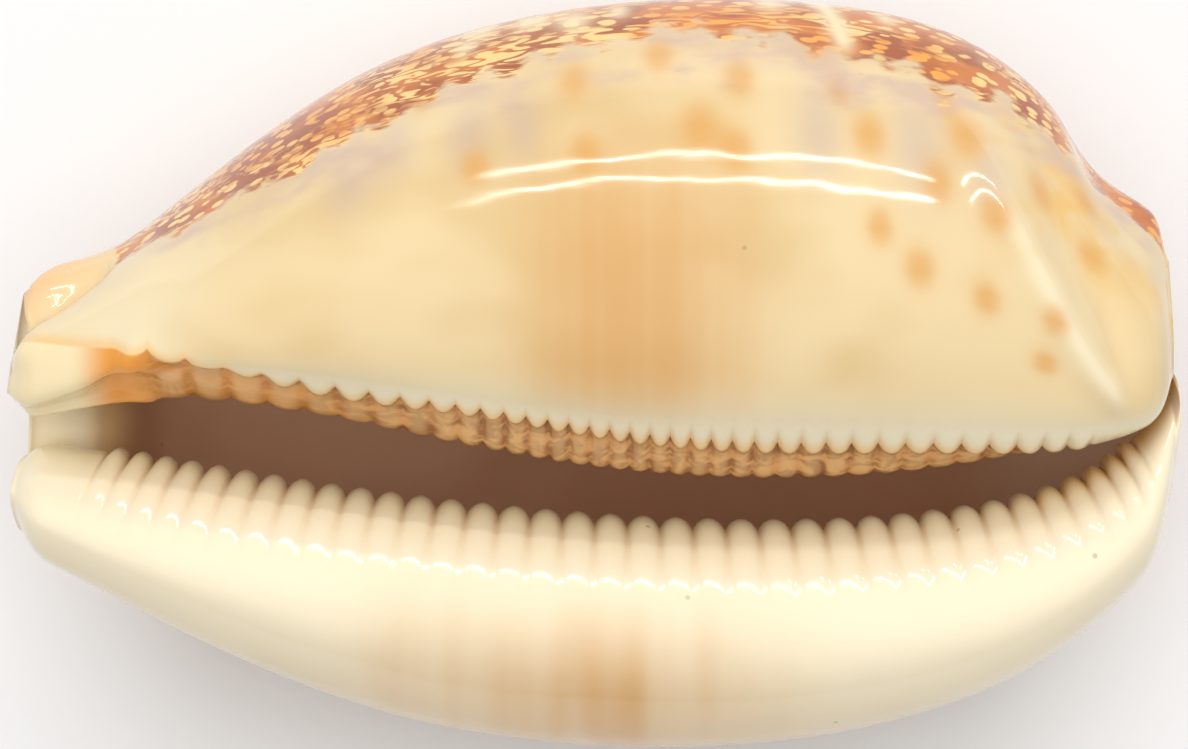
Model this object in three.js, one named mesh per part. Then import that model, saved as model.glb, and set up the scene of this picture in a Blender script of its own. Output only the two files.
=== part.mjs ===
// A cowrie shell lying on its back with the toothed slot up. Millimetres, +Z up.
// The narrow canal end points to -X, the spire end to +X, the outer lip towards -Y.
import * as THREE from 'three'
import { LoftGeometry } from 'three/addons/geometries/LoftGeometry.js'
import { mergeVertices } from 'three/addons/utils/BufferGeometryUtils.js'

const { smoothstep, lerp, degToRad, clamp } = THREE.MathUtils

const LENGTH = 76
const HALF = LENGTH / 2
const ROLL = degToRad(24)          // it lies over by this much on its outer-lip side
const FLAT_DEPTH = 0.55            // depth of the small flat it rests on
const END_ROUNDING = 2.4           // length over which the wall rounds off at each tip
const END_FACE = 0.16              // share of that rounding left off, as a blunt face
const TEETH = 36                   // on each lip
const END_TEETH = 4                // smooth length past the teeth, counted in teeth
const ROWS_PER_TOOTH = 3
const LIP_TOOTH = 0.75             // tooth heights
const COLUMELLA_TOOTH = 0.5

// Profiles along the shell, canal tip first. Their nine stations are evenly spaced
// round a half circle, so they crowd towards both tips.
const PROFILE = {
  columellaSide: [9.3, 9.2, 13.6, 21.6, 25.1, 25.2, 22.2, 13.4, 10.6],
  lipSide: [7.6, 9.6, 14.9, 21.5, 24.6, 23.9, 19.7, 12.2, 7.0],
  back: [6.4, 2.2, -11.0, -18.8, -21.0, -20.2, -15.6, -5.5, 4.0],
  columellaTop: [13.5, 15.0, 18.0, 19.4, 19.8, 19.6, 18.6, 16.5, 13.5],
  lipTop: [13.0, 15.0, 18.0, 19.6, 19.8, 19.6, 18.6, 16.0, 13.0],
  widest: [9.5, 8.5, 5.0, 2.5, 1.0, 0.5, 1.0, 4.0, 8.0],
  lipEdge: [-1.0, -1.2, -2.0, -3.7, -5.3, -5.8, -4.5, -1.2, 5.4],
  columellaEdge: [2.6, 3.3, 6.9, 5.2, 2.6, 1.9, 1.6, 2.0, 4.9],
  fold: [0.3, 0.8, 2.7, 2.6, 3.0, 3.2, 1.5, 0.3, 0.2],
  edgeRoll: [2.0, 2.9, 3.8, 4.2, 4.2, 4.2, 3.9, 3.0, 2.2],
  undercut: [0.2, 0.8, 1.7, 2.3, 2.3, 2.3, 2.0, 1.0, 0.3],
  edgeDepth: [4.4, 7.2, 10.0, 11.5, 11.5, 11.5, 10.4, 8.2, 6.4],
  wall: [0.4, 0.8, 1, 1, 1, 1, 1, 0.85, 0.6]
}

// Wall thickness at each outline point. Behind both edges the shell is solid.
const WALL = [2, 2, 2, 2, 2, 2, 4.4, 2.8, 2.2, 2.0, 2.2, 2.6, 3.4, 2, 2, 2, 2, 2, 2]

// Where the teeth stand along the shell, evenly spaced in tooth count.
const LIP_ROWS = [-38, -29.9, -20, -9.3, 2.2, 14, 25.3, 34.4, 38]
const COLUMELLA_ROWS = [-38, -24.5, -12, -3.6, 3.6, 10.9, 19.8, 29.8, 38]

// How far the outer lip's rows fan out from there, where they cross its crest.
const LIP_FAN = [0, -2.4, -1.7, -0.8, 0, 0.5, 1.1, 1.4, 0]

// How far each rim stands back from its tip, from the lip edge over the back to the
// columella edge.
const CANAL_SETBACK = [0.9, 0.2, 0.0, 0.3, 0.6, 1.5, 0.7, 0.0, 0.9]
const SPIRE_SETBACK = [0.2, 0.0, 0.0, 0.0, 0.2, 0.4, 0.7, 0.6, 0.4]

// Weights of a smooth cubic curve between its control values.
function curveWeights (f) {
  return [
    (1 - f) ** 3 / 6,
    (3 * f ** 3 - 6 * f ** 2 + 4) / 6,
    (-3 * f ** 3 + 3 * f ** 2 + 3 * f + 1) / 6,
    f ** 3 / 6
  ]
}

// A smooth curve close to evenly spaced values, read at 0 to 1 along them.
function curve (values) {
  const last = values.length - 1
  const at = i => {
    if (i < 0) return 2 * values[0] - values[-i]
    if (i > last) return 2 * values[last] - values[2 * last - i]
    return values[i]
  }
  const control = []
  for (let i = -1; i <= last + 1; i++) {
    const bend = i < 0 || i > last ? 0 : at(i - 1) + at(i + 1) - 2 * at(i)
    control.push(at(i) - bend / 6)
  }
  return place => {
    const s = clamp(place, 0, 1) * last
    const start = Math.min(Math.floor(s), last - 1)
    const w = curveWeights(s - start)
    return w.reduce((sum, weight, k) => sum + weight * control[start + k], 0)
  }
}

const profileCurves = Object.entries(PROFILE).map(([name, values]) => [name, curve(values)])
const lipRows = curve(LIP_ROWS)
const columellaRows = curve(COLUMELLA_ROWS)
const lipFan = curve(LIP_FAN)
const canalSetback = curve(CANAL_SETBACK)
const spireSetback = curve(SPIRE_SETBACK)

// The outside of the shell at one place along it, from inside the outer lip, round the
// lip side, under the back, up the columella side and into the slot again.
function outsidePoints (p) {
  const roll = p.edgeRoll
  const lipWidth = p.lipSide + p.lipEdge
  const columellaWidth = p.columellaSide - p.columellaEdge
  const down = share => lerp(p.widest, p.back, share)
  return [
    [p.lipEdge - p.undercut, p.lipTop - p.edgeDepth],
    [p.lipEdge - 0.02 * roll, p.lipTop - 1.75 * roll],
    [p.lipEdge - 0.16 * roll, p.lipTop - 0.85 * roll],
    [p.lipEdge - 0.85 * roll, p.lipTop - 0.12 * roll],
    [p.lipEdge - 0.46 * lipWidth, p.lipTop - 0.02 * roll],
    [p.lipEdge - 0.80 * lipWidth, lerp(p.widest, p.lipTop, 0.70)],
    [-p.lipSide, p.widest],
    [-0.87 * p.lipSide, down(0.46)],
    [-0.50 * p.lipSide, down(0.83)],
    [0.6, p.back],
    [0.54 * p.columellaSide, down(0.85)],
    [0.90 * p.columellaSide, down(0.46)],
    [p.columellaSide, p.widest - 0.4],
    [p.columellaEdge + 0.82 * columellaWidth, lerp(p.widest, p.columellaTop, 0.64)],
    [p.columellaEdge + 0.48 * columellaWidth, lerp(p.widest, p.columellaTop, 0.93)],
    [p.columellaEdge + 0.17 * columellaWidth, p.columellaTop],
    [p.columellaEdge + 0.04 * columellaWidth, p.columellaTop - 0.45 * roll],
    [p.columellaEdge - p.fold, p.columellaTop - 1.15 * roll],
    [p.columellaEdge - 0.75 * p.fold + 0.3, p.columellaTop - 0.85 * p.edgeDepth]
  ].map(([y, z]) => new THREE.Vector2(y, z))
}

const OUTSIDE = 19                 // outline points on the outside, and as many inside
const OUTLINE = 2 * OUTSIDE
const FOLD = OUTSIDE - 1           // outline place of the columella edge inside the slot
const LIP_FLANK = 6                // outline places where the solid edges end
const COLUMELLA_FLANK = 12

// Points on an arch from the wall's inner end to its flank. Both edges are solid there.
function arched (start, end, side) {
  const run = end.clone().sub(start)
  const upright = new THREE.Vector2(run.y, -run.x).multiplyScalar(side)
  return [0, 0.14, 0.30, 0.48, 0.68, 0.86].map(share => start.clone()
    .addScaledVector(run, share)
    .addScaledVector(upright, 0.18 * Math.sin(Math.PI * share)))
}

function meanOf (points) {
  const sum = new THREE.Vector2()
  points.forEach(point => sum.add(point))
  return sum.divideScalar(points.length)
}

// Draws both solid edges in, so that they end bluntly: at the canal towards the middle
// of each edge, at the spire towards the slot, where the two edges almost meet.
function gatherEdges (points, atSpire) {
  const lipCore = meanOf(points.slice(0, atSpire ? 3 : LIP_FLANK))
  const columellaCore = meanOf(points.slice(atSpire ? FOLD - 2 : COLUMELLA_FLANK + 1))
  points.slice(0, LIP_FLANK).forEach(point => point.lerp(lipCore, 0.7))
  points.slice(COLUMELLA_FLANK + 1).forEach(point => point.lerp(columellaCore, 0.7))
}

// The whole outline at one place: the outside, then back along the inside of the wall.
// Towards both tips the two close up on the middle of the wall.
function outlinePoints (x) {
  const place = Math.acos(clamp(-x / HALF, -1, 1)) / Math.PI
  const profile = Object.fromEntries(profileCurves.map(([name, read]) => [name, read(place)]))
  const outer = outsidePoints(profile)
  const inner = outer.map((point, i) => {
    const run = outer[Math.min(i + 1, FOLD)].clone().sub(outer[Math.max(i - 1, 0)]).normalize()
    const inward = new THREE.Vector2(-run.y, run.x)
    return point.clone().addScaledVector(inward, WALL[i] * profile.wall)
  })
  inner.splice(0, LIP_FLANK, ...arched(inner[0], inner[LIP_FLANK], 1))
  inner.splice(COLUMELLA_FLANK + 1, LIP_FLANK,
    ...arched(inner[FOLD], inner[COLUMELLA_FLANK], -1).reverse())
  const nearTip = clamp((HALF - Math.abs(x)) / END_ROUNDING, END_FACE, 1)
  const openness = Math.sqrt(1 - (1 - nearTip) ** 2)
  const middle = outer.map((point, i) => point.clone().add(inner[i]).multiplyScalar(0.5))
  gatherEdges(middle, x > 0)
  const closedUp = (point, i) => middle[i].clone().lerp(point, openness)
  return [...outer.map(closedUp), ...inner.map(closedUp).reverse()]
}

// 0 at the lip edge, 0.5 on the back, 1 at the columella edge.
function wayRound (around) {
  const t = (around + OUTLINE) % OUTLINE
  return clamp((t <= FOLD + 0.5 ? t : 2 * FOLD + 1 - t) / FOLD, 0, 1)
}

// A point of the smooth, toothless shell. Rows are counted in teeth, and the place
// around the outline in outline points.
function smoothPoint (row, around) {
  const share = (row + END_TEETH) / (TEETH + 2 * END_TEETH)
  const way = wayRound(around)
  const fan = smoothstep(way, 0.05, 0.22) * (1 - smoothstep(way, 0.22, 0.5))
  const x = fan * lipFan(share) +
    lerp(lipRows(share), columellaRows(share), smoothstep(way, 0.28, 0.78))
  const points = outlinePoints(x)
  const at = i => points[(i + 2 * OUTLINE) % OUTLINE]
  const control = i => at(i).clone().multiplyScalar(8).sub(at(i - 1)).sub(at(i + 1))
    .divideScalar(6)
  const t = (around + OUTLINE) % OUTLINE
  const start = Math.floor(t)
  const w = curveWeights(t - start)
  const cross = w.reduce((sum, weight, k) =>
    sum.addScaledVector(control(start + k - 1), weight), new THREE.Vector2())
  const end = x / HALF
  const setback = canalSetback(way) * clamp(-end, 0, 1) ** 6 -
    spireSetback(way) * clamp(end, 0, 1) ** 6
  return new THREE.Vector3(x + setback, cross.x, cross.y)
}

// Height of the teeth above the smooth shell: rounded ridges with narrow grooves.
function toothHeight (row, around) {
  const inner = around > FOLD + 1 ? around - OUTLINE : around
  const crest = (1 - 0.6 * smoothstep(inner, 0.9, 1.8)) * (1 - smoothstep(inner, 1.8, 3.2))
  const lipBand = smoothstep(inner, -1.2, 0) * crest
  const onFold = 1 - 0.4 * smoothstep(around, 16.1, 16.5)
  const columellaBand = onFold * smoothstep(around, 15.2, 16.0) *
    (1 - smoothstep(around, 18.6, 20))
  const span = smoothstep(row, -0.5, 0.5) * (1 - smoothstep(row, TEETH - 0.5, TEETH + 0.5))
  const ridge = Math.abs(Math.sin(Math.PI * row)) ** 0.7 - 0.4
  return span * ridge * (LIP_TOOTH * lipBand + COLUMELLA_TOOTH * columellaBand)
}

function shellPoint (row, around) {
  const point = smoothPoint(row, around)
  const height = toothHeight(row, around)
  if (height === 0) return point
  const step = 0.05
  const lengthwise = smoothPoint(row + step, around).sub(smoothPoint(row - step, around))
  const roundwise = smoothPoint(row, around + step).sub(smoothPoint(row, around - step))
  const outward = roundwise.cross(lengthwise).normalize()
  return point.addScaledVector(outward, height)
}

// Places round the outline, fewer of them on the hidden inside.
function placesAround () {
  const outside = 24
  const inside = 12
  const places = []
  for (let i = 0; i < outside; i++) places.push(lerp(0, FOLD, i / (outside - 1)))
  for (let i = 0; i < inside; i++) places.push(lerp(FOLD + 1, OUTLINE - 1, i / (inside - 1)))
  return places
}

// Lays the shell over on its outer-lip side and stands it on its small flat.
function restOnFloor (geometry) {
  geometry.rotateX(ROLL)
  geometry.computeBoundingBox()
  const { min, max } = geometry.boundingBox
  geometry.translate(-(min.x + max.x) / 2, -(min.y + max.y) / 2, -min.z - FLAT_DEPTH)
  const position = geometry.attributes.position
  for (let i = 0; i < position.count; i++) {
    position.setZ(i, Math.max(position.getZ(i), 0))
  }
}

function shellGeometry () {
  const places = placesAround()
  const sections = []
  for (let k = 0; k <= (TEETH + 2 * END_TEETH) * ROWS_PER_TOOTH; k++) {
    const row = k / ROWS_PER_TOOTH - END_TEETH
    sections.push(places.map(around => shellPoint(row, around)))
  }
  const skin = new LoftGeometry(sections, { closed: true, capStart: true, capEnd: true })
  const loft = new THREE.BufferGeometry().copy(skin)
  loft.deleteAttribute('uv')
  loft.deleteAttribute('normal')
  const geometry = mergeVertices(loft, 1e-3)
  restOnFloor(geometry)
  geometry.computeVertexNormals()
  return geometry
}

const porcelain = new THREE.MeshStandardMaterial({
  name: 'shell', color: 0xe8d3a8, roughness: 0.25
})

const shell = new THREE.Mesh(shellGeometry(), porcelain)
shell.name = 'shell'

const part = new THREE.Group()
part.name = 'cowrie_shell'
part.add(shell)
export default part
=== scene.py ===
import math

import bmesh
import bpy
import numpy as np
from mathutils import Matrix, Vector


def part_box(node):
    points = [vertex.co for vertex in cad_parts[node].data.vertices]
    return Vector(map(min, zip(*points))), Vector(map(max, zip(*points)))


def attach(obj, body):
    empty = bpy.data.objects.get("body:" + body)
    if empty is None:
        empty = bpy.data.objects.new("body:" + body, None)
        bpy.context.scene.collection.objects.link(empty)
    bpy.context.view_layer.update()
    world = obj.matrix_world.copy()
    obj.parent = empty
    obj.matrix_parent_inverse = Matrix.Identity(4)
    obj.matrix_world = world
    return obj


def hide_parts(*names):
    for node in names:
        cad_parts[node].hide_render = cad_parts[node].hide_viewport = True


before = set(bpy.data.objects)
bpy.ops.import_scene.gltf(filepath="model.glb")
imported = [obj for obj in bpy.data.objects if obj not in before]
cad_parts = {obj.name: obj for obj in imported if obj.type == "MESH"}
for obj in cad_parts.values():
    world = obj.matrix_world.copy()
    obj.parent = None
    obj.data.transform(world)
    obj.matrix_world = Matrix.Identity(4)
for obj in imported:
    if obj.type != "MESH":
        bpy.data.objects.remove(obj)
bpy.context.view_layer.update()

# Lengths are millimetres in the shell's own frame, until the shell is laid down:
# x from the canal tip to the spire tip, y towards the columella side, z out of the slot.
LENGTH = 76
HALF = LENGTH / 2
TIP = HALF + 0.22               # where the furthest rows of the fan reach
ROLL = math.radians(24)         # it lies over by this much on its outer-lip side
FLAT_DEPTH = 0.55               # depth of the small flat it rests on
END_ROUNDING = 2.4              # length over which the wall rounds off at each tip
END_FACE = 0.16                 # share of that rounding left off, as a blunt face
TEETH = 36                      # on each lip
END_TEETH = 4                   # smooth length past the teeth, counted in teeth
ALL_TEETH = TEETH + 2 * END_TEETH
ROWS_PER_TOOTH = 8
ROUNDWISE = 270
LIP_TOOTH = 0.75
COLUMELLA_TOOTH = 0.5
OUTSIDE = 19                    # outline points on the outside, and as many inside
OUTLINE = 2 * OUTSIDE
FOLD = OUTSIDE - 1              # outline place of the columella edge inside the slot
LIP_FLANK = 6                   # outline places where the solid edges end
COLUMELLA_FLANK = 12
GATHER = 0.7                    # how far both solid edges draw in towards a core at a tip
ARCH_RISE = 0.18                # height of the arch behind each edge, over its span
SEAM = 28                       # where the grid closes, hidden inside the back

# Profiles along the shell, canal tip first. Their nine stations are evenly spaced
# round a half circle, so they crowd towards both tips.
PROFILE = {
    "columella_side": [9.3, 9.2, 13.6, 21.6, 25.1, 25.2, 22.2, 13.4, 10.6],
    "lip_side": [7.6, 9.6, 14.9, 21.5, 24.6, 23.9, 19.7, 12.2, 7.0],
    "back": [6.4, 2.2, -11.0, -18.8, -21.0, -20.2, -15.6, -5.5, 4.0],
    "columella_top": [13.5, 15.0, 18.0, 19.4, 19.8, 19.6, 18.6, 16.5, 13.5],
    "lip_top": [13.0, 15.0, 18.0, 19.6, 19.8, 19.6, 18.6, 16.0, 13.0],
    "widest": [9.5, 8.5, 5.0, 2.5, 1.0, 0.5, 1.0, 4.0, 8.0],
    "lip_edge": [-1.0, -1.2, -2.0, -3.7, -5.3, -5.8, -4.5, -1.2, 5.4],
    "columella_edge": [2.6, 3.3, 6.9, 5.2, 2.6, 1.9, 1.6, 2.0, 4.9],
    "fold": [0.3, 0.8, 2.7, 2.6, 3.0, 3.2, 1.5, 0.3, 0.2],
    "edge_roll": [2.0, 2.9, 3.8, 4.2, 4.2, 4.2, 3.9, 3.0, 2.2],
    "undercut": [0.2, 0.8, 1.7, 2.3, 2.3, 2.3, 2.0, 1.0, 0.3],
    "edge_depth": [4.4, 7.2, 10.0, 11.5, 11.5, 11.5, 10.4, 8.2, 6.4],
    "wall": [0.4, 0.8, 1, 1, 1, 1, 1, 0.85, 0.6],
}

# Wall thickness at each outline point. Behind both edges the shell is solid.
WALL = [2, 2, 2, 2, 2, 2, 4.4, 2.8, 2.2, 2.0, 2.2, 2.6, 3.4, 2, 2, 2, 2, 2, 2]

# Where the teeth stand along the shell, evenly spaced in tooth count, and how far the
# outer lip's rows fan out from there, where they cross its crest.
LIP_ROWS = [-38, -29.9, -20, -9.3, 2.2, 14, 25.3, 34.4, 38]
COLUMELLA_ROWS = [-38, -24.5, -12, -3.6, 3.6, 10.9, 19.8, 29.8, 38]
LIP_FAN = [0, -2.4, -1.7, -0.8, 0, 0.5, 1.1, 1.4, 0]

# How far each rim stands back from its tip, from the lip edge over the back to the
# columella edge.
CANAL_SETBACK = [0.9, 0.2, 0.0, 0.3, 0.6, 1.5, 0.7, 0.0, 0.9]
SPIRE_SETBACK = [0.2, 0.0, 0.0, 0.0, 0.2, 0.4, 0.7, 0.6, 0.4]

# Outline places of the glaze's edges along the shell, evenly spaced from tip to tip.
GLAZE_EDGE = [12.3, 12.4, 12.65, 12.45, 12.25, 12.2, 12.45, 12.4, 12.1]
TOOTHED_EDGE = [13.0, 14.3, 15.85, 15.6, 15.85, 16.0, 16.0, 16.2, 17.2]

PLACE = 5.5                     # about the millimetres between outline points on the flanks

# Blurred spots in the glaze of the columella flank: place along, place around, size.
ORANGE_SPOTS = [
    (-10.8, 12.45, 0.9), (-7.4, 13.1, 1.1), (-1.2, 12.55, 1.2), (4.2, 12.4, 1.2),
    (9.3, 12.6, 1.2), (14.3, 12.3, 1.3), (15.6, 12.65, 0.8), (17.4, 12.95, 1.3),
    (6.7, 12.95, 1.5), (-0.5, 13.1, 1.2), (17.9, 13.55, 1.0), (20.4, 13.8, 1.2),
    (22.3, 12.6, 0.8), (24.6, 13.95, 1.1), (25.2, 13.35, 1.1), (28.4, 14.4, 1.0),
    (28.9, 14.0, 1.0), (23.6, 12.85, 1.4), (28.6, 12.95, 1.2), (31.6, 12.75, 1.0),
    (31.8, 13.2, 1.1), (21.6, 13.2, 1.2), (9.0, 13.1, 1.2),
]
LILAC_SPOTS = [
    (-7.8, 12.85, 1.5), (-4.4, 12.85, 1.2), (-12.6, 12.8, 1.4), (14.2, 12.95, 1.7),
    (20.6, 13.0, 1.9), (24.8, 13.1, 1.3), (-15.3, 13.0, 1.5),
]

# The pale line where the mantle's two halves met over the back, with its side branches.
MANTLE_LINES = [
    [(16.2, 12.2), (14.8, 11.5), (9, 10.9), (3, 10.3), (-5, 10.4), (-12, 9.9), (-20, 10.2),
     (-28, 9.9)],
    [(9, 10.9), (12, 10.0), (17, 9.8)],
    [(3, 10.3), (1, 11.3)],
    [(3, 10.3), (7, 9.1)],
    [(-5, 10.4), (-8, 11.3)],
    [(-12, 9.9), (-14, 8.7)],
    [(-20, 10.2), (-23, 11.1)],
]


# ---------------------------------------------------------------- shell shape

def curve_weights(f):
    """Weights of a smooth cubic curve between its control values."""
    return [
        (1 - f) ** 3 / 6,
        (3 * f ** 3 - 6 * f ** 2 + 4) / 6,
        (-3 * f ** 3 + 3 * f ** 2 + 3 * f + 1) / 6,
        f ** 3 / 6,
    ]


def along(values, place):
    """A smooth curve close to evenly spaced values, read at 0 to 1 along them."""
    values = np.asarray(values, float)
    bend = np.zeros(len(values))
    bend[1:-1] = values[:-2] + values[2:] - 2 * values[1:-1]
    control = values - bend / 6
    before = 2 * values[0] - values[1]
    after = 2 * values[-1] - values[-2]
    control = np.concatenate([[before], control, [after]])
    last = len(values) - 1
    s = np.clip(place, 0, 1) * last
    start = np.minimum(s.astype(int), last - 1)
    return sum(w * control[start + k] for k, w in enumerate(curve_weights(s - start)))


def smoothstep(value, low, high):
    f = np.clip((value - low) / (high - low), 0, 1)
    return f * f * (3 - 2 * f)


def mix(a, b, share):
    return a + (b - a) * share


def outside_points(x):
    """The outside at each x, from inside the outer lip round the back to the columella.

    Gives the outline points, as (places, points, across and up), and the wall's share.
    """
    place = np.arccos(np.clip(-x / TIP, -1, 1)) / np.pi
    p = {name: along(values, place) for name, values in PROFILE.items()}
    roll = p["edge_roll"]
    lip, lip_top = p["lip_edge"], p["lip_top"]
    columella, columella_top = p["columella_edge"], p["columella_top"]
    lip_width = p["lip_side"] + lip
    columella_width = p["columella_side"] - columella

    def down(share):
        return mix(p["widest"], p["back"], share)

    points = [
        (lip - p["undercut"], lip_top - p["edge_depth"]),
        (lip - 0.02 * roll, lip_top - 1.75 * roll),
        (lip - 0.16 * roll, lip_top - 0.85 * roll),
        (lip - 0.85 * roll, lip_top - 0.12 * roll),
        (lip - 0.46 * lip_width, lip_top - 0.02 * roll),
        (lip - 0.80 * lip_width, mix(p["widest"], lip_top, 0.70)),
        (-p["lip_side"], p["widest"]),
        (-0.87 * p["lip_side"], down(0.46)),
        (-0.50 * p["lip_side"], down(0.83)),
        (0.6 + 0 * x, p["back"]),
        (0.54 * p["columella_side"], down(0.85)),
        (0.90 * p["columella_side"], down(0.46)),
        (p["columella_side"], p["widest"] - 0.4),
        (columella + 0.82 * columella_width, mix(p["widest"], columella_top, 0.64)),
        (columella + 0.48 * columella_width, mix(p["widest"], columella_top, 0.93)),
        (columella + 0.17 * columella_width, columella_top),
        (columella + 0.04 * columella_width, columella_top - 0.45 * roll),
        (columella - p["fold"], columella_top - 1.15 * roll),
        (columella - 0.75 * p["fold"] + 0.3, columella_top - 0.85 * p["edge_depth"]),
    ]
    return np.stack([np.stack(point, -1) for point in points], -2), p["wall"]


def arched(start, end, side):
    """Points on an arch from the wall's inner end to its flank."""
    share = np.array([0, 0.14, 0.30, 0.48, 0.68, 0.86])[:, None]
    run = (end - start)[..., None, :]
    upright = np.stack([run[..., 1], -run[..., 0]], -1) * side
    return start[..., None, :] + run * share + upright * ARCH_RISE * np.sin(np.pi * share)


def outline_points(x):
    """The closed outline at each x, closing up on the middle of the wall at both tips."""
    outer, wall_share = outside_points(x)
    run = outer[..., np.clip(np.arange(OUTSIDE) + 1, 0, FOLD), :] - \
        outer[..., np.clip(np.arange(OUTSIDE) - 1, 0, FOLD), :]
    inward = np.stack([-run[..., 1], run[..., 0]], -1)
    inward /= np.linalg.norm(run, axis=-1, keepdims=True)
    inner = outer + inward * (np.array(WALL)[:, None] * wall_share[..., None, None])
    inner[..., :LIP_FLANK, :] = arched(inner[..., 0, :], inner[..., LIP_FLANK, :], 1)
    columella = arched(inner[..., FOLD, :], inner[..., COLUMELLA_FLANK, :], -1)
    inner[..., COLUMELLA_FLANK + 1:, :] = columella[..., ::-1, :]

    near_tip = np.clip((TIP - np.abs(x)) / END_ROUNDING, END_FACE, 1)
    openness = np.sqrt(1 - (1 - near_tip) ** 2)[..., None, None]
    middle = gather_edges((outer + inner) / 2, x > 0)
    return np.concatenate([
        mix(middle, outer, openness),
        mix(middle, inner, openness)[..., ::-1, :],
    ], -2)


def gather_edges(points, at_spire):
    """Draws both solid edges in, so that they end bluntly.

    At the canal each goes to its own middle, at the spire to the slot between them.
    """
    edges = (
        (slice(0, LIP_FLANK), slice(0, 3)),
        (slice(COLUMELLA_FLANK + 1, OUTSIDE), slice(FOLD - 2, OUTSIDE)),
    )
    for edge, slot_end in edges:
        core = np.where(
            at_spire[..., None, None],
            points[..., slot_end, :].mean(-2, keepdims=True),
            points[..., edge, :].mean(-2, keepdims=True))
        points[..., edge, :] = mix(points[..., edge, :], core, GATHER)
    return points


def way_round(around):
    """0 at the lip edge, 0.5 on the back, 1 at the columella edge."""
    t = around % OUTLINE
    return np.clip(np.where(t <= FOLD + 0.5, t, 2 * FOLD + 1 - t) / FOLD, 0, 1)


def smooth_shell(row, around):
    """Points of the toothless shell. Rows are counted in teeth, places in outline points."""
    share = (row + END_TEETH) / ALL_TEETH
    way = way_round(around)
    fan = smoothstep(way, 0.05, 0.22) * (1 - smoothstep(way, 0.22, 0.5))
    x = mix(along(LIP_ROWS, share), along(COLUMELLA_ROWS, share),
            smoothstep(way, 0.28, 0.78))
    x = x + fan * along(LIP_FAN, share)
    points = outline_points(x)
    control = (8 * points - np.roll(points, 1, -2) - np.roll(points, -1, -2)) / 6
    t = around % OUTLINE
    start = np.floor(t).astype(int)
    each = np.arange(len(x))
    cross = sum(w[:, None] * control[each, (start + k - 1) % OUTLINE]
                for k, w in enumerate(curve_weights(t - start)))
    end = x / HALF
    setback = along(CANAL_SETBACK, way) * np.clip(-end, 0, 1) ** 6
    setback -= along(SPIRE_SETBACK, way) * np.clip(end, 0, 1) ** 6
    return np.column_stack([x + setback, cross])


def tooth_height(row, around):
    """Height of the teeth above the smooth shell: rounded ridges, narrow grooves."""
    inner = np.where(around > FOLD + 1, around - OUTLINE, around)
    crest = (1 - 0.6 * smoothstep(inner, 0.9, 1.8)) * (1 - smoothstep(inner, 1.8, 3.2))
    lip_band = smoothstep(inner, -1.2, 0) * crest
    columella_band = smoothstep(around, 15.2, 16.0) * (1 - smoothstep(around, 18.6, 20))
    columella_band *= 1 - 0.4 * smoothstep(around, 16.1, 16.5)
    span = smoothstep(row, -0.5, 0.5) * (1 - smoothstep(row, TEETH - 0.5, TEETH + 0.5))
    ridge = np.abs(np.sin(np.pi * row)) ** 0.7 - 0.4
    return span * ridge * (LIP_TOOTH * lip_band + COLUMELLA_TOOTH * columella_band)


def hill(x, around, centre, reach):
    """A smooth round hill, 1 at its middle, over the places along and around the skin."""
    return np.exp(-((x - centre[0]) / reach[0]) ** 2 - ((around - centre[1]) / reach[1]) ** 2)


def stroke(x, around, start, end, width):
    """A soft stroke from one place to another, 1 along its middle, its width in mm."""
    here = np.column_stack([x, around * PLACE])
    start = np.array([start[0], start[1] * PLACE])
    way = np.array([end[0], end[1] * PLACE]) - start
    share = np.clip((here - start) @ way / (way @ way), 0, 1)
    gap = np.linalg.norm(here - start - share[:, None] * way, axis=1)
    return np.exp(-(gap / width) ** 2)


def glaze_edges(x):
    """Where the porcelain glaze ends, on the columella flank and on the outer-lip flank."""
    waver = 0.05 * np.sin(0.9 * x) + 0.04 * np.sin(2.3 * x + 1)
    columella = along(GLAZE_EDGE, (x + HALF) / LENGTH)
    return columella + waver, 7.1 + 0.5 * np.sin(0.11 * x) - 2 * waver


def scallop(row, x):
    """Where the glaze ends on the columella's toothed edge."""
    teeth = np.abs(np.sin(np.pi * row)) ** 0.7 - 0.4
    size = mix(0.26, 0.12, smoothstep(x, -22, 2)) * smoothstep(row, -1.2, -0.2)
    return along(TOOTHED_EDGE, (x + HALF) / LENGTH) + size * teeth


def bareness(x, around):
    """How far inside the unglazed back a place is, below 0 on the glaze."""
    columella, lip = glaze_edges(x)
    inside = np.minimum(columella - around, around - lip)
    canal_end = x + 31 + 2.5 * np.exp(-((around - 9.5) / 1.5) ** 2)
    return np.clip(np.minimum(inside, np.minimum(canal_end, 37.4 - x) * 0.4), -1, 1)


def spire_crease(x, around):
    """The fold that runs down to the slot at the spire end, and the hollow behind it."""
    crease = 13.2 + 0.19 * (x - 25.5)
    near = smoothstep(x, 22, 26) * (1 - smoothstep(x, 32.5, 35))
    fold = np.exp(-((around - crease) / 0.33) ** 2) * near
    hollow = np.exp(-((around - crease + 0.85) / 0.5) ** 2) * near * smoothstep(x, 26, 31)
    return fold, hollow


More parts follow.
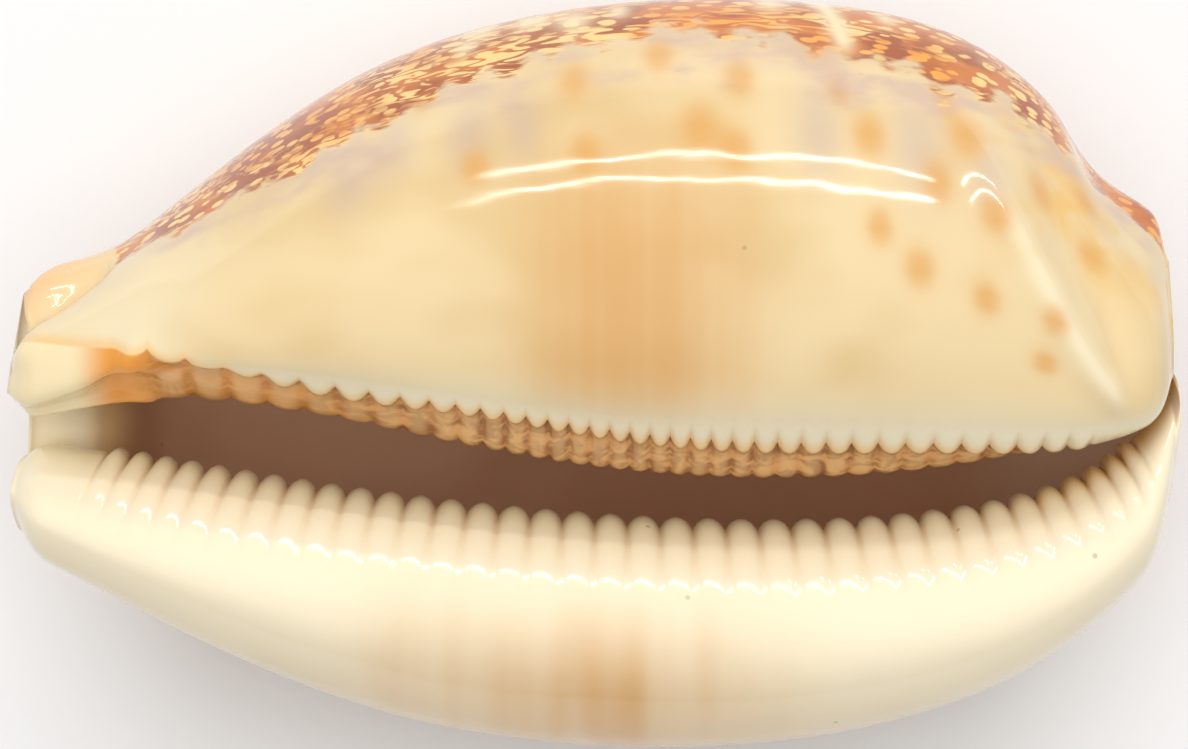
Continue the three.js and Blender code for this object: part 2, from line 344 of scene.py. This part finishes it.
def relief(row, x, around):
    """Height of the lesser forms: the glaze's rims, and the bumps at the spire and canal."""
    outside = smoothstep(around, -1.5, 0) * (1 - smoothstep(around, 18, 20))
    rim = 0.16 * (1 - smoothstep(bareness(x, around), -0.1, 0.15)) * outside
    canal_floor = 1 - smoothstep(np.minimum(SEAM - around, around - SEAM + OUTLINE), 3, 7)
    canal_floor *= smoothstep(x, -37.4, -35) * (1 - smoothstep(x, -34.5, -29))
    past = around - scallop(row, x)
    ledge = smoothstep(past, 0.02, 0.25) * (1 - smoothstep(past, 0.35, 1.2))
    fold, hollow = spire_crease(x, around)
    return smoothstep(HALF - np.abs(x), 0.1, 1.8) * (
        rim - 0.55 * ledge * smoothstep(x, -30, -27)
        + 0.55 * fold - 0.75 * hollow
        + 0.9 * hill(x, around, (36.6, 11.4), (1.6, 0.7))
        - 0.9 * hill(x, around, (33.4, 11.9), (2.0, 0.8))
        + 2.4 * canal_floor
        + 1.2 * hill(x, around, (-34.8, 11.6), (2.3, 0.5))
        - 0.8 * stroke(x, around, (-38, 12.75), (-32.4, 12.2), 1.1)
        + 0.45 * stroke(x, around, (-38, 13.6), (-29, 12.9), 2.4)
        - 0.5 * hill(x, around, (-37.3, 13.0), (0.5, 0.2))
        + 0.5 * hill(x, around, (-29.2, 14.6), (0.9, 0.5))
        - 0.9 * hill(x, around, (-30.3, 15.7), (1.3, 0.7))
        + 0.5 * stroke(x, around, (-36, 16.4), (-28.5, 16.9), 0.9)
    )


def markings(row, x, around):
    """Where the marks lie that have places of their own, over the skin."""
    mantle = sum(stroke(x, around, start, end, 0.75)
                 for line in MANTLE_LINES for start, end in zip(line, line[1:]))
    random = np.random.default_rng(5)
    islands = np.zeros(len(x))
    for _ in range(90):
        place = random.uniform((-30, 7.4), (36, 12.0))
        size = random.uniform(0.45, 1.0)
        islands += hill(x, around, place, (size * 1.2, size / PLACE))
    return {
        "bare": bareness(x, around),
        "ledge": np.clip(around - scallop(row, x), -1, 1),
        # mask of a painted highlight along the ridge of the spire crease
        "crease_highlight": spire_crease(x, around)[0] ** 3,
        "grooves": (1 - np.abs(np.sin(np.pi * row)) ** 0.7) * (row > 0) * (row < TEETH),
        "salmon": hill(x, around, (-35.2, 11.5), (3.2, 0.75)),
        "mantle": np.clip(mantle, 0, 1),
        "islands": np.clip(islands, 0, 1),
        "spots": sum(hill(x, around, (a, b), (r, 0.75 * r / PLACE)) for a, b, r in ORANGE_SPOTS),
        "lilac_spots": sum(hill(x, around, (a, b), (r, r / PLACE)) for a, b, r in LILAC_SPOTS),
    }


def lay_down(points):
    """Turns the shell over on its outer-lip side, as it lies, in millimetres."""
    x, y, z = points.T
    return np.column_stack([
        x,
        y * math.cos(ROLL) - z * math.sin(ROLL),
        y * math.sin(ROLL) + z * math.cos(ROLL),
    ])


def stand_on_flat(points):
    """Where the shell's own frame comes to stand, from the box of its laid-down points."""
    low, high = points.min(0), points.max(0)
    return np.array([-(low[0] + high[0]) / 2, -(low[1] + high[1]) / 2, -low[2] - FLAT_DEPTH])


def places_round(share):
    """Outline places from one side of the seam to the other, closest on the outside."""
    return np.interp(share, [0, 0.09, 0.93, 1], [SEAM - OUTLINE, -1.2, 19, SEAM])


def make_shell():
    """The whole shell as one closed skin, laid down and standing on its flat, in metres."""
    bm = bmesh.new()
    bmesh.ops.create_grid(
        bm, x_segments=ALL_TEETH * ROWS_PER_TOOTH, y_segments=ROUNDWISE, size=0.5)
    bm.verts.index_update()
    flat = np.array([v.co for v in bm.verts])[:, :2] + 0.5
    row = flat[:, 0] * ALL_TEETH - END_TEETH
    around = places_round(flat[:, 1])
    wrap = bm.loops.layers.uv.new("wrap")
    for face in bm.faces:
        for loop in face.loops:
            at = loop.vert.index
            loop[wrap].uv = (flat[at, 0], around[at] / OUTLINE)

    smooth = smooth_shell(row, around)
    marks = markings(row, smooth[:, 0], around)
    marks["teeth"] = tooth_height(row, around)
    marks["height"] = marks["teeth"] + relief(row, smooth[:, 0], around)
    for name, values in marks.items():
        layer = bm.verts.layers.float.new(name)
        for v, value in zip(bm.verts, values):
            v[layer] = value
    for v, co in zip(bm.verts, smooth):
        v.co = co
    height = bm.verts.layers.float["height"]
    bmesh.ops.remove_doubles(bm, verts=bm.verts, dist=1e-4)
    close_tips(bm)
    bmesh.ops.recalc_face_normals(bm, faces=bm.faces)
    bm.normal_update()
    for v in bm.verts:
        v.co += v.normal * v[height]

    laid = lay_down(np.array([v.co for v in bm.verts]))
    laid += stand_on_flat(laid)
    for v, (x, y, z) in zip(bm.verts, laid):
        v.co = Vector((x, y, max(z, 0))) / 1000
    mesh = bpy.data.meshes.new("cowrie")
    bm.to_mesh(mesh)
    bm.free()
    mesh.shade_smooth()
    shell = bpy.data.objects.new("cowrie", mesh)
    bpy.context.scene.collection.objects.link(shell)
    return shell


def close_tips(bm):
    """Fills the thin slits that are left where the wall has closed up at both tips."""
    rims = [edge for edge in bm.edges if edge.is_boundary]
    bmesh.ops.holes_fill(bm, edges=rims, sides=0)


# ---------------------------------------------------------------- finish

def rgb(red, green, blue):
    """A colour as it is seen, 0 to 255, turned into the linear light a shader takes."""
    return tuple(((c / 255 + 0.055) / 1.055) ** 2.4 for c in (red, green, blue)) + (1,)


class Value:
    """A socket with arithmetic: each operation adds a Math node."""

    def __init__(self, tree, socket):
        self.tree = tree
        self.socket = socket

    def math(self, operation, *values):
        node = self.tree.add("ShaderNodeMath", {"operation": operation}, dict(enumerate(values)))
        return Value(self.tree, node.outputs[0])

    def __add__(self, other):
        return self.math("ADD", self, other)

    def __sub__(self, other):
        return self.math("SUBTRACT", self, other)

    def __rsub__(self, other):
        return self.math("SUBTRACT", other, self)

    def __mul__(self, other):
        return self.math("MULTIPLY", self, other)

    def __abs__(self):
        return self.math("ABSOLUTE", self)

    __radd__ = __add__
    __rmul__ = __mul__

    def rise(self, low, high):
        """0 at low and 1 at high, smooth between them, whichever of the two is greater."""
        node = self.tree.add("ShaderNodeMapRange", {"interpolation_type": "SMOOTHSTEP"}, {
            "Value": self,
            "From Min": min(low, high),
            "From Max": max(low, high),
            "To Min": float(low > high),
            "To Max": float(low < high),
        })
        return Value(self.tree, node.outputs[0])

    def band(self, start, end, soft):
        """1 between start and end, with soft edges."""
        return self.rise(start - soft, start + soft) * self.rise(end + soft, end - soft)


class Skin:
    """A material's tree, with the places, patterns and paint its zones are made from."""

    def __init__(self, tree):
        self.tree = tree
        self.metres = self.value("ShaderNodeTexCoord", {}, {}, "Object")
        self.wrap = self.value("ShaderNodeUVMap", {"uv_map": "wrap"}, {}, "UV")
        along_length = self.value("ShaderNodeSeparateXYZ", {}, {"Vector": self.metres}, "X")
        across = self.value("ShaderNodeSeparateXYZ", {}, {"Vector": self.wrap}, "Y")
        self.x = along_length * 1000
        self.around = across * OUTLINE

    def add(self, kind, settings, sockets):
        """Adds any node. Its settings go in first, then the values or links of its sockets."""
        node = self.tree.nodes.new(kind)
        for name, setting in settings.items():
            setattr(node, name, setting)
        for key, value in sockets.items():
            if isinstance(value, Value):
                self.tree.links.new(value.socket, node.inputs[key])
            else:
                node.inputs[key].default_value = value
        return node

    def value(self, kind, settings, sockets, output):
        return Value(self, self.add(kind, settings, sockets).outputs[output])

    def mark(self, name):
        """One of the marks that the mesh carries."""
        return self.value("ShaderNodeAttribute", {"attribute_name": name}, {}, "Fac")

    def scaled(self, place, scale):
        return self.value("ShaderNodeMapping", {}, {"Vector": place, "Scale": scale}, "Vector")

    def noise(self, x, y, z, detail=2.0, warp=0.0):
        """Soft noise about 0.5, in blotches about x, y and z millimetres long."""
        place = self.scaled(self.metres, (1000 / x, 1000 / y, 1000 / z))
        return self.value("ShaderNodeTexNoise", {}, {
            "Vector": place, "Scale": 1.0, "Detail": detail, "Distortion": warp}, "Fac")

    def strips(self, teeth, places, detail=2.0, warp=0.0):
        """Noise that follows the skin, measured in teeth along it and in outline points."""
        place = self.scaled(self.wrap, (ALL_TEETH / teeth, OUTLINE / places, 1))
        return self.value("ShaderNodeTexNoise", {}, {
            "Vector": place, "Scale": 1.0, "Detail": detail, "Distortion": warp}, "Fac")

    def cells(self, x, y, z):
        """Distance to the nearest of many scattered points, in cells x, y and z mm long."""
        place = self.scaled(self.metres, (1000 / x, 1000 / y, 1000 / z))
        return self.value("ShaderNodeTexVoronoi", {"feature": "SMOOTH_F1"}, {
            "Vector": place, "Scale": 1.0, "Smoothness": 0.35}, "Distance")

    def paint(self, under, over, share):
        """One colour laid over another by a share."""
        node = self.add("ShaderNodeMix", {"data_type": "RGBA"}, {0: share, 6: under, 7: over})
        return Value(self, node.outputs[2])


def glazed_base(skin):
    """The porcelain of the base and flanks: cream, a tan blotch, whitish edges, and a painted
    highlight along the spire crease.
    """
    x, around = skin.x, skin.around
    cloud = skin.noise(14, 10, 12)
    colour = skin.paint(rgb(238, 213, 164), rgb(228, 198, 144), cloud.rise(0.42, 0.66))
    stripes = skin.strips(1.6, 9.0, detail=1.0).rise(0.3, 0.7) * 0.35 + 0.65
    blotch = around.band(13.1, 15.4, 0.7) * x.band(-3.5, 9.0, 4.0) * stripes
    colour = skin.paint(colour, rgb(222, 170, 106), blotch * 0.85)
    whitish = around.band(15.1, 17, 0.5) * (1 - blotch * 0.4)
    whitish = whitish + around.band(12.9, 15.2, 0.8) * x.rise(-22, -30) * 0.6
    colour = skin.paint(colour, rgb(248, 238, 208), whitish * 0.8)
    # painted highlight: a pale line along the spire crease's ridge, where the lamps shine on it
    colour = skin.paint(colour, rgb(254, 244, 214), skin.mark("crease_highlight") * 0.6)
    yellows = around.band(11.4, 13.3, 0.5) * x.rise(22, 30)
    yellows = yellows * skin.noise(4, 3, 3).rise(0.42, 0.6)
    return skin.paint(colour, rgb(240, 190, 100), yellows * 0.6)


def outer_lip(skin, colour):
    """Cream-white outer lip with tan bars on its flank, painted shade low on the flank, and warm
    grooves between teeth.
    """
    x, around = skin.x, skin.around
    lip = around.rise(8.0, 6.5) * around.rise(-1.5, -0.8)
    colour = skin.paint(colour, rgb(254, 240, 208), lip * around.rise(6.0, 3.4))
    bars = skin.strips(1.8, 9.0, detail=1.0).rise(0.34, 0.66) * 0.5 + 0.5
    tan = around.band(3.2, 5.8, 0.9) * x.band(-12, 11, 7) * bars
    colour = skin.paint(colour, rgb(224, 172, 108), tan * 0.9)
    # painted shade: the lower flank of the lip darkened grey-brown, where it turns away from the
    # light
    low = around.band(5.6, 7.4, 0.9)
    colour = skin.paint(colour, rgb(178, 142, 102), low * 0.6)
    teeth = around.band(-0.6, 1.7, 0.7)
    colour = skin.paint(colour, rgb(255, 238, 184), teeth * 0.6)
    groove = skin.mark("grooves").rise(0.3, 0.8) * around.band(-1.4, 1.9, 0.7)
    colour = skin.paint(colour, rgb(226, 184, 128), groove * 0.5)
    glow = around.band(-1.2, 1.3, 0.5) * x.rise(25, 32)
    return skin.paint(colour, rgb(252, 204, 116), glow * 0.8)


def columella_fold(skin, colour):
    """The toothed ledge in the slot: orange-brown, paler on its knobs, orange at the canal."""
    x, around = skin.x, skin.around
    past = skin.mark("ledge")
    colour = skin.paint(colour, rgb(246, 204, 140), past.rise(-0.34, -0.02) * 0.85)
    rough = skin.strips(1.1, 0.35, detail=4.0, warp=1.2)
    brown = skin.paint(rgb(166, 98, 42), rgb(236, 170, 100), rough.rise(0.38, 0.62))
    brown = skin.paint(brown, rgb(226, 146, 58), x.rise(-10, -24) * 0.7)
    knobs = skin.mark("teeth").rise(-0.02, 0.2)
    brown = skin.paint(brown, rgb(244, 202, 142), knobs * 0.45)
    brown = skin.paint(brown, rgb(240, 160, 70), x.rise(-27.5, -29.5))
    brown = skin.paint(brown, rgb(250, 230, 184), x.rise(-30.5, -33.5))
    return skin.paint(colour, brown, past.rise(-0.03, 0.06))


def chamber(skin, colour):
    """The inside, with pale floors where it runs out at both ends. Its own brown is painted much
    paler, as painted light for the light that comes in through the slot and the thin, translucent
    wall.
    """
    x, around = skin.x, skin.around
    inside = 1 - around.band(-0.9, 18.6, 0.35)
    # painted light: the inside's brown is lightened to a pale peach, to stand in for the light that
    # reaches it through the slot and the translucent wall
    brown = skin.paint(rgb(242, 198, 160), rgb(230, 182, 144), skin.noise(20, 14, 14).rise(0.4, 0.6))
    brown = skin.paint(brown, rgb(248, 216, 184), x.rise(24, 33))
    brown = skin.paint(brown, rgb(250, 214, 150), x.rise(-30.2, -32.6))
    brown = skin.paint(brown, rgb(254, 240, 206), x.rise(-32.0, -34.6))
    return skin.paint(colour, brown, inside)


def back_pattern(skin):
    """The back's brown net with round pale gaps, drawn out in places into long streaks."""
    ground = skin.paint(rgb(252, 212, 130), rgb(244, 164, 52), skin.noise(9, 7, 7).rise(0.4, 0.6))
    drops = skin.cells(1.5, 0.9, 0.9)
    threads = abs(skin.noise(2.6, 0.8, 0.8, detail=1.0, warp=0.6) - 0.5)
    streaky = skin.noise(16, 6, 6).rise(0.47, 0.58)
    net = drops.rise(0.34, 0.46) * (1 - streaky) + threads.rise(0.11, 0.05) * streaky
    shade = skin.paint(rgb(212, 116, 14), rgb(170, 78, 2), skin.noise(5, 4, 4).rise(0.4, 0.6))
    pattern = skin.paint(ground, shade, net)
    pale = skin.mark("mantle")
    pattern = skin.paint(pattern, rgb(246, 226, 180), pale)
    return skin.paint(pattern, rgb(250, 226, 176), skin.mark("islands") * (1 - pale))


def back(skin, colour):
    """Lays the back's pattern between the two glaze edges, with a lilac fringe along them."""
    edge = skin.mark("bare")
    fray = skin.noise(2.4, 1.3, 1.3, detail=3.0) * 0.5 - 0.25
    bare = (edge + fray).rise(-0.04, 0.10)
    fringe = (edge + fray).band(-0.3, 0.0, 0.16) * skin.noise(9, 5, 5).rise(0.42, 0.6)
    colour = skin.paint(colour, rgb(206, 174, 160), fringe * 0.65)
    return skin.paint(colour, back_pattern(skin), bare)


def make_finish():
    material = bpy.data.materials.new("shell")
    material.use_nodes = True
    tree = material.node_tree
    shader = tree.nodes["Principled BSDF"]
    skin = Skin(tree)
    colour = glazed_base(skin)
    spots = skin.mark("spots")
    colour = skin.paint(colour, rgb(200, 176, 166), skin.mark("lilac_spots") * 0.5)
    colour = skin.paint(colour, rgb(226, 166, 88), spots.rise(0.0, 1.1) * 0.8)
    colour = outer_lip(skin, colour)
    colour = back(skin, colour)
    colour = skin.paint(colour, rgb(252, 196, 144), skin.mark("salmon") * 0.9)
    colour = columella_fold(skin, colour)
    colour = chamber(skin, colour)
    specks = skin.cells(4.2, 4.2, 4.2).rise(0.05, 0.03) * skin.noise(6, 6, 6).rise(0.5, 0.56)
    colour = skin.paint(colour, rgb(170, 130, 84), specks * 0.45)
    tree.links.new(colour.socket, shader.inputs["Base Color"])

    inside = 1 - skin.around.band(-0.9, 18.6, 0.35)
    smudge = skin.noise(7, 5, 5, detail=4.0).rise(0.35, 0.75)
    rough = inside * 0.3 + smudge * 0.07 + 0.09
    tree.links.new(rough.socket, shader.inputs["Roughness"])
    shader.inputs["IOR"].default_value = 1.55
    swell = skin.noise(5, 4, 4, detail=1.0) * 0.16 + skin.noise(1.1, 0.8, 0.8) * 0.008
    bump = skin.value(
        "ShaderNodeBump", {}, {"Strength": 0.6, "Distance": 0.001, "Height": swell}, "Normal")
    tree.links.new(bump.socket, shader.inputs["Normal"])
    return material


# ---------------------------------------------------------------- studio

CAMERA_HEIGHT = math.radians(88)    # angle above the floor
CAMERA_DISTANCE = 0.280
LENS = 125.6


def make_floor():
    bm = bmesh.new()
    bmesh.ops.create_grid(bm, x_segments=1, y_segments=1, size=2)
    mesh = bpy.data.meshes.new("floor")
    bm.to_mesh(mesh)
    bm.free()
    floor = bpy.data.objects.new("floor", mesh)
    bpy.context.scene.collection.objects.link(floor)
    paint = bpy.data.materials.new("floor")
    paint.use_nodes = True
    shader = paint.node_tree.nodes["Principled BSDF"]
    shader.inputs["Base Color"].default_value = (0.9, 0.9, 0.9, 1)
    shader.inputs["Roughness"].default_value = 0.9
    mesh.materials.append(paint)
    return floor


def aim(thing, place, target):
    """Puts a lamp or camera at a place, turned to face the target."""
    thing.location = place
    thing.rotation_mode = "QUATERNION"
    thing.rotation_quaternion = (target - place).to_track_quat("-Z", "Y")


def make_camera(target):
    camera = bpy.data.objects.new("camera", bpy.data.cameras.new("camera"))
    bpy.context.scene.collection.objects.link(camera)
    bpy.context.scene.camera = camera
    away = Vector((0, -math.cos(CAMERA_HEIGHT), math.sin(CAMERA_HEIGHT)))
    aim(camera, target + away * CAMERA_DISTANCE, target)
    camera.data.lens = LENS
    camera.data.clip_start = 0.01


def make_light(name, direction, distance, size, watts, target, mirrored):
    """A flat lamp that faces the target. Only a mirrored one shows in the glaze."""
    light = bpy.data.lights.new(name, "AREA")
    light.shape = "RECTANGLE"
    light.size, light.size_y = size
    light.energy = watts
    lamp = bpy.data.objects.new(name, light)
    bpy.context.scene.collection.objects.link(lamp)
    lamp.visible_glossy = mirrored
    aim(lamp, target + Vector(direction).normalized() * distance, target)


cowrie = make_shell()
cowrie.data.materials.append(make_finish())
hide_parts("shell")
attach(cowrie, "root")

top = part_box("shell")[1].z
middle = Vector((0, 0, top / 2))
make_floor()
make_camera(middle)
make_light("tube_high", (0.1, 0.69, 0.72), 1.0, (0.60, 0.016), 1.3, middle, True)
make_light("tube_low", (0.1, 0.83, 0.55), 1.0, (0.60, 0.016), 1.3, middle, True)
make_light("soft", (0, 0.1, 1), 1.2, (1.0, 1.0), 10.8, middle, False)
world = bpy.data.worlds.new("studio")
world.use_nodes = True
world.node_tree.nodes["Background"].inputs["Color"].default_value = (1, 1, 1, 1)
world.node_tree.nodes["Background"].inputs["Strength"].default_value = 0.35
bpy.context.scene.world = world
bpy.context.scene.view_settings.view_transform = "Standard"
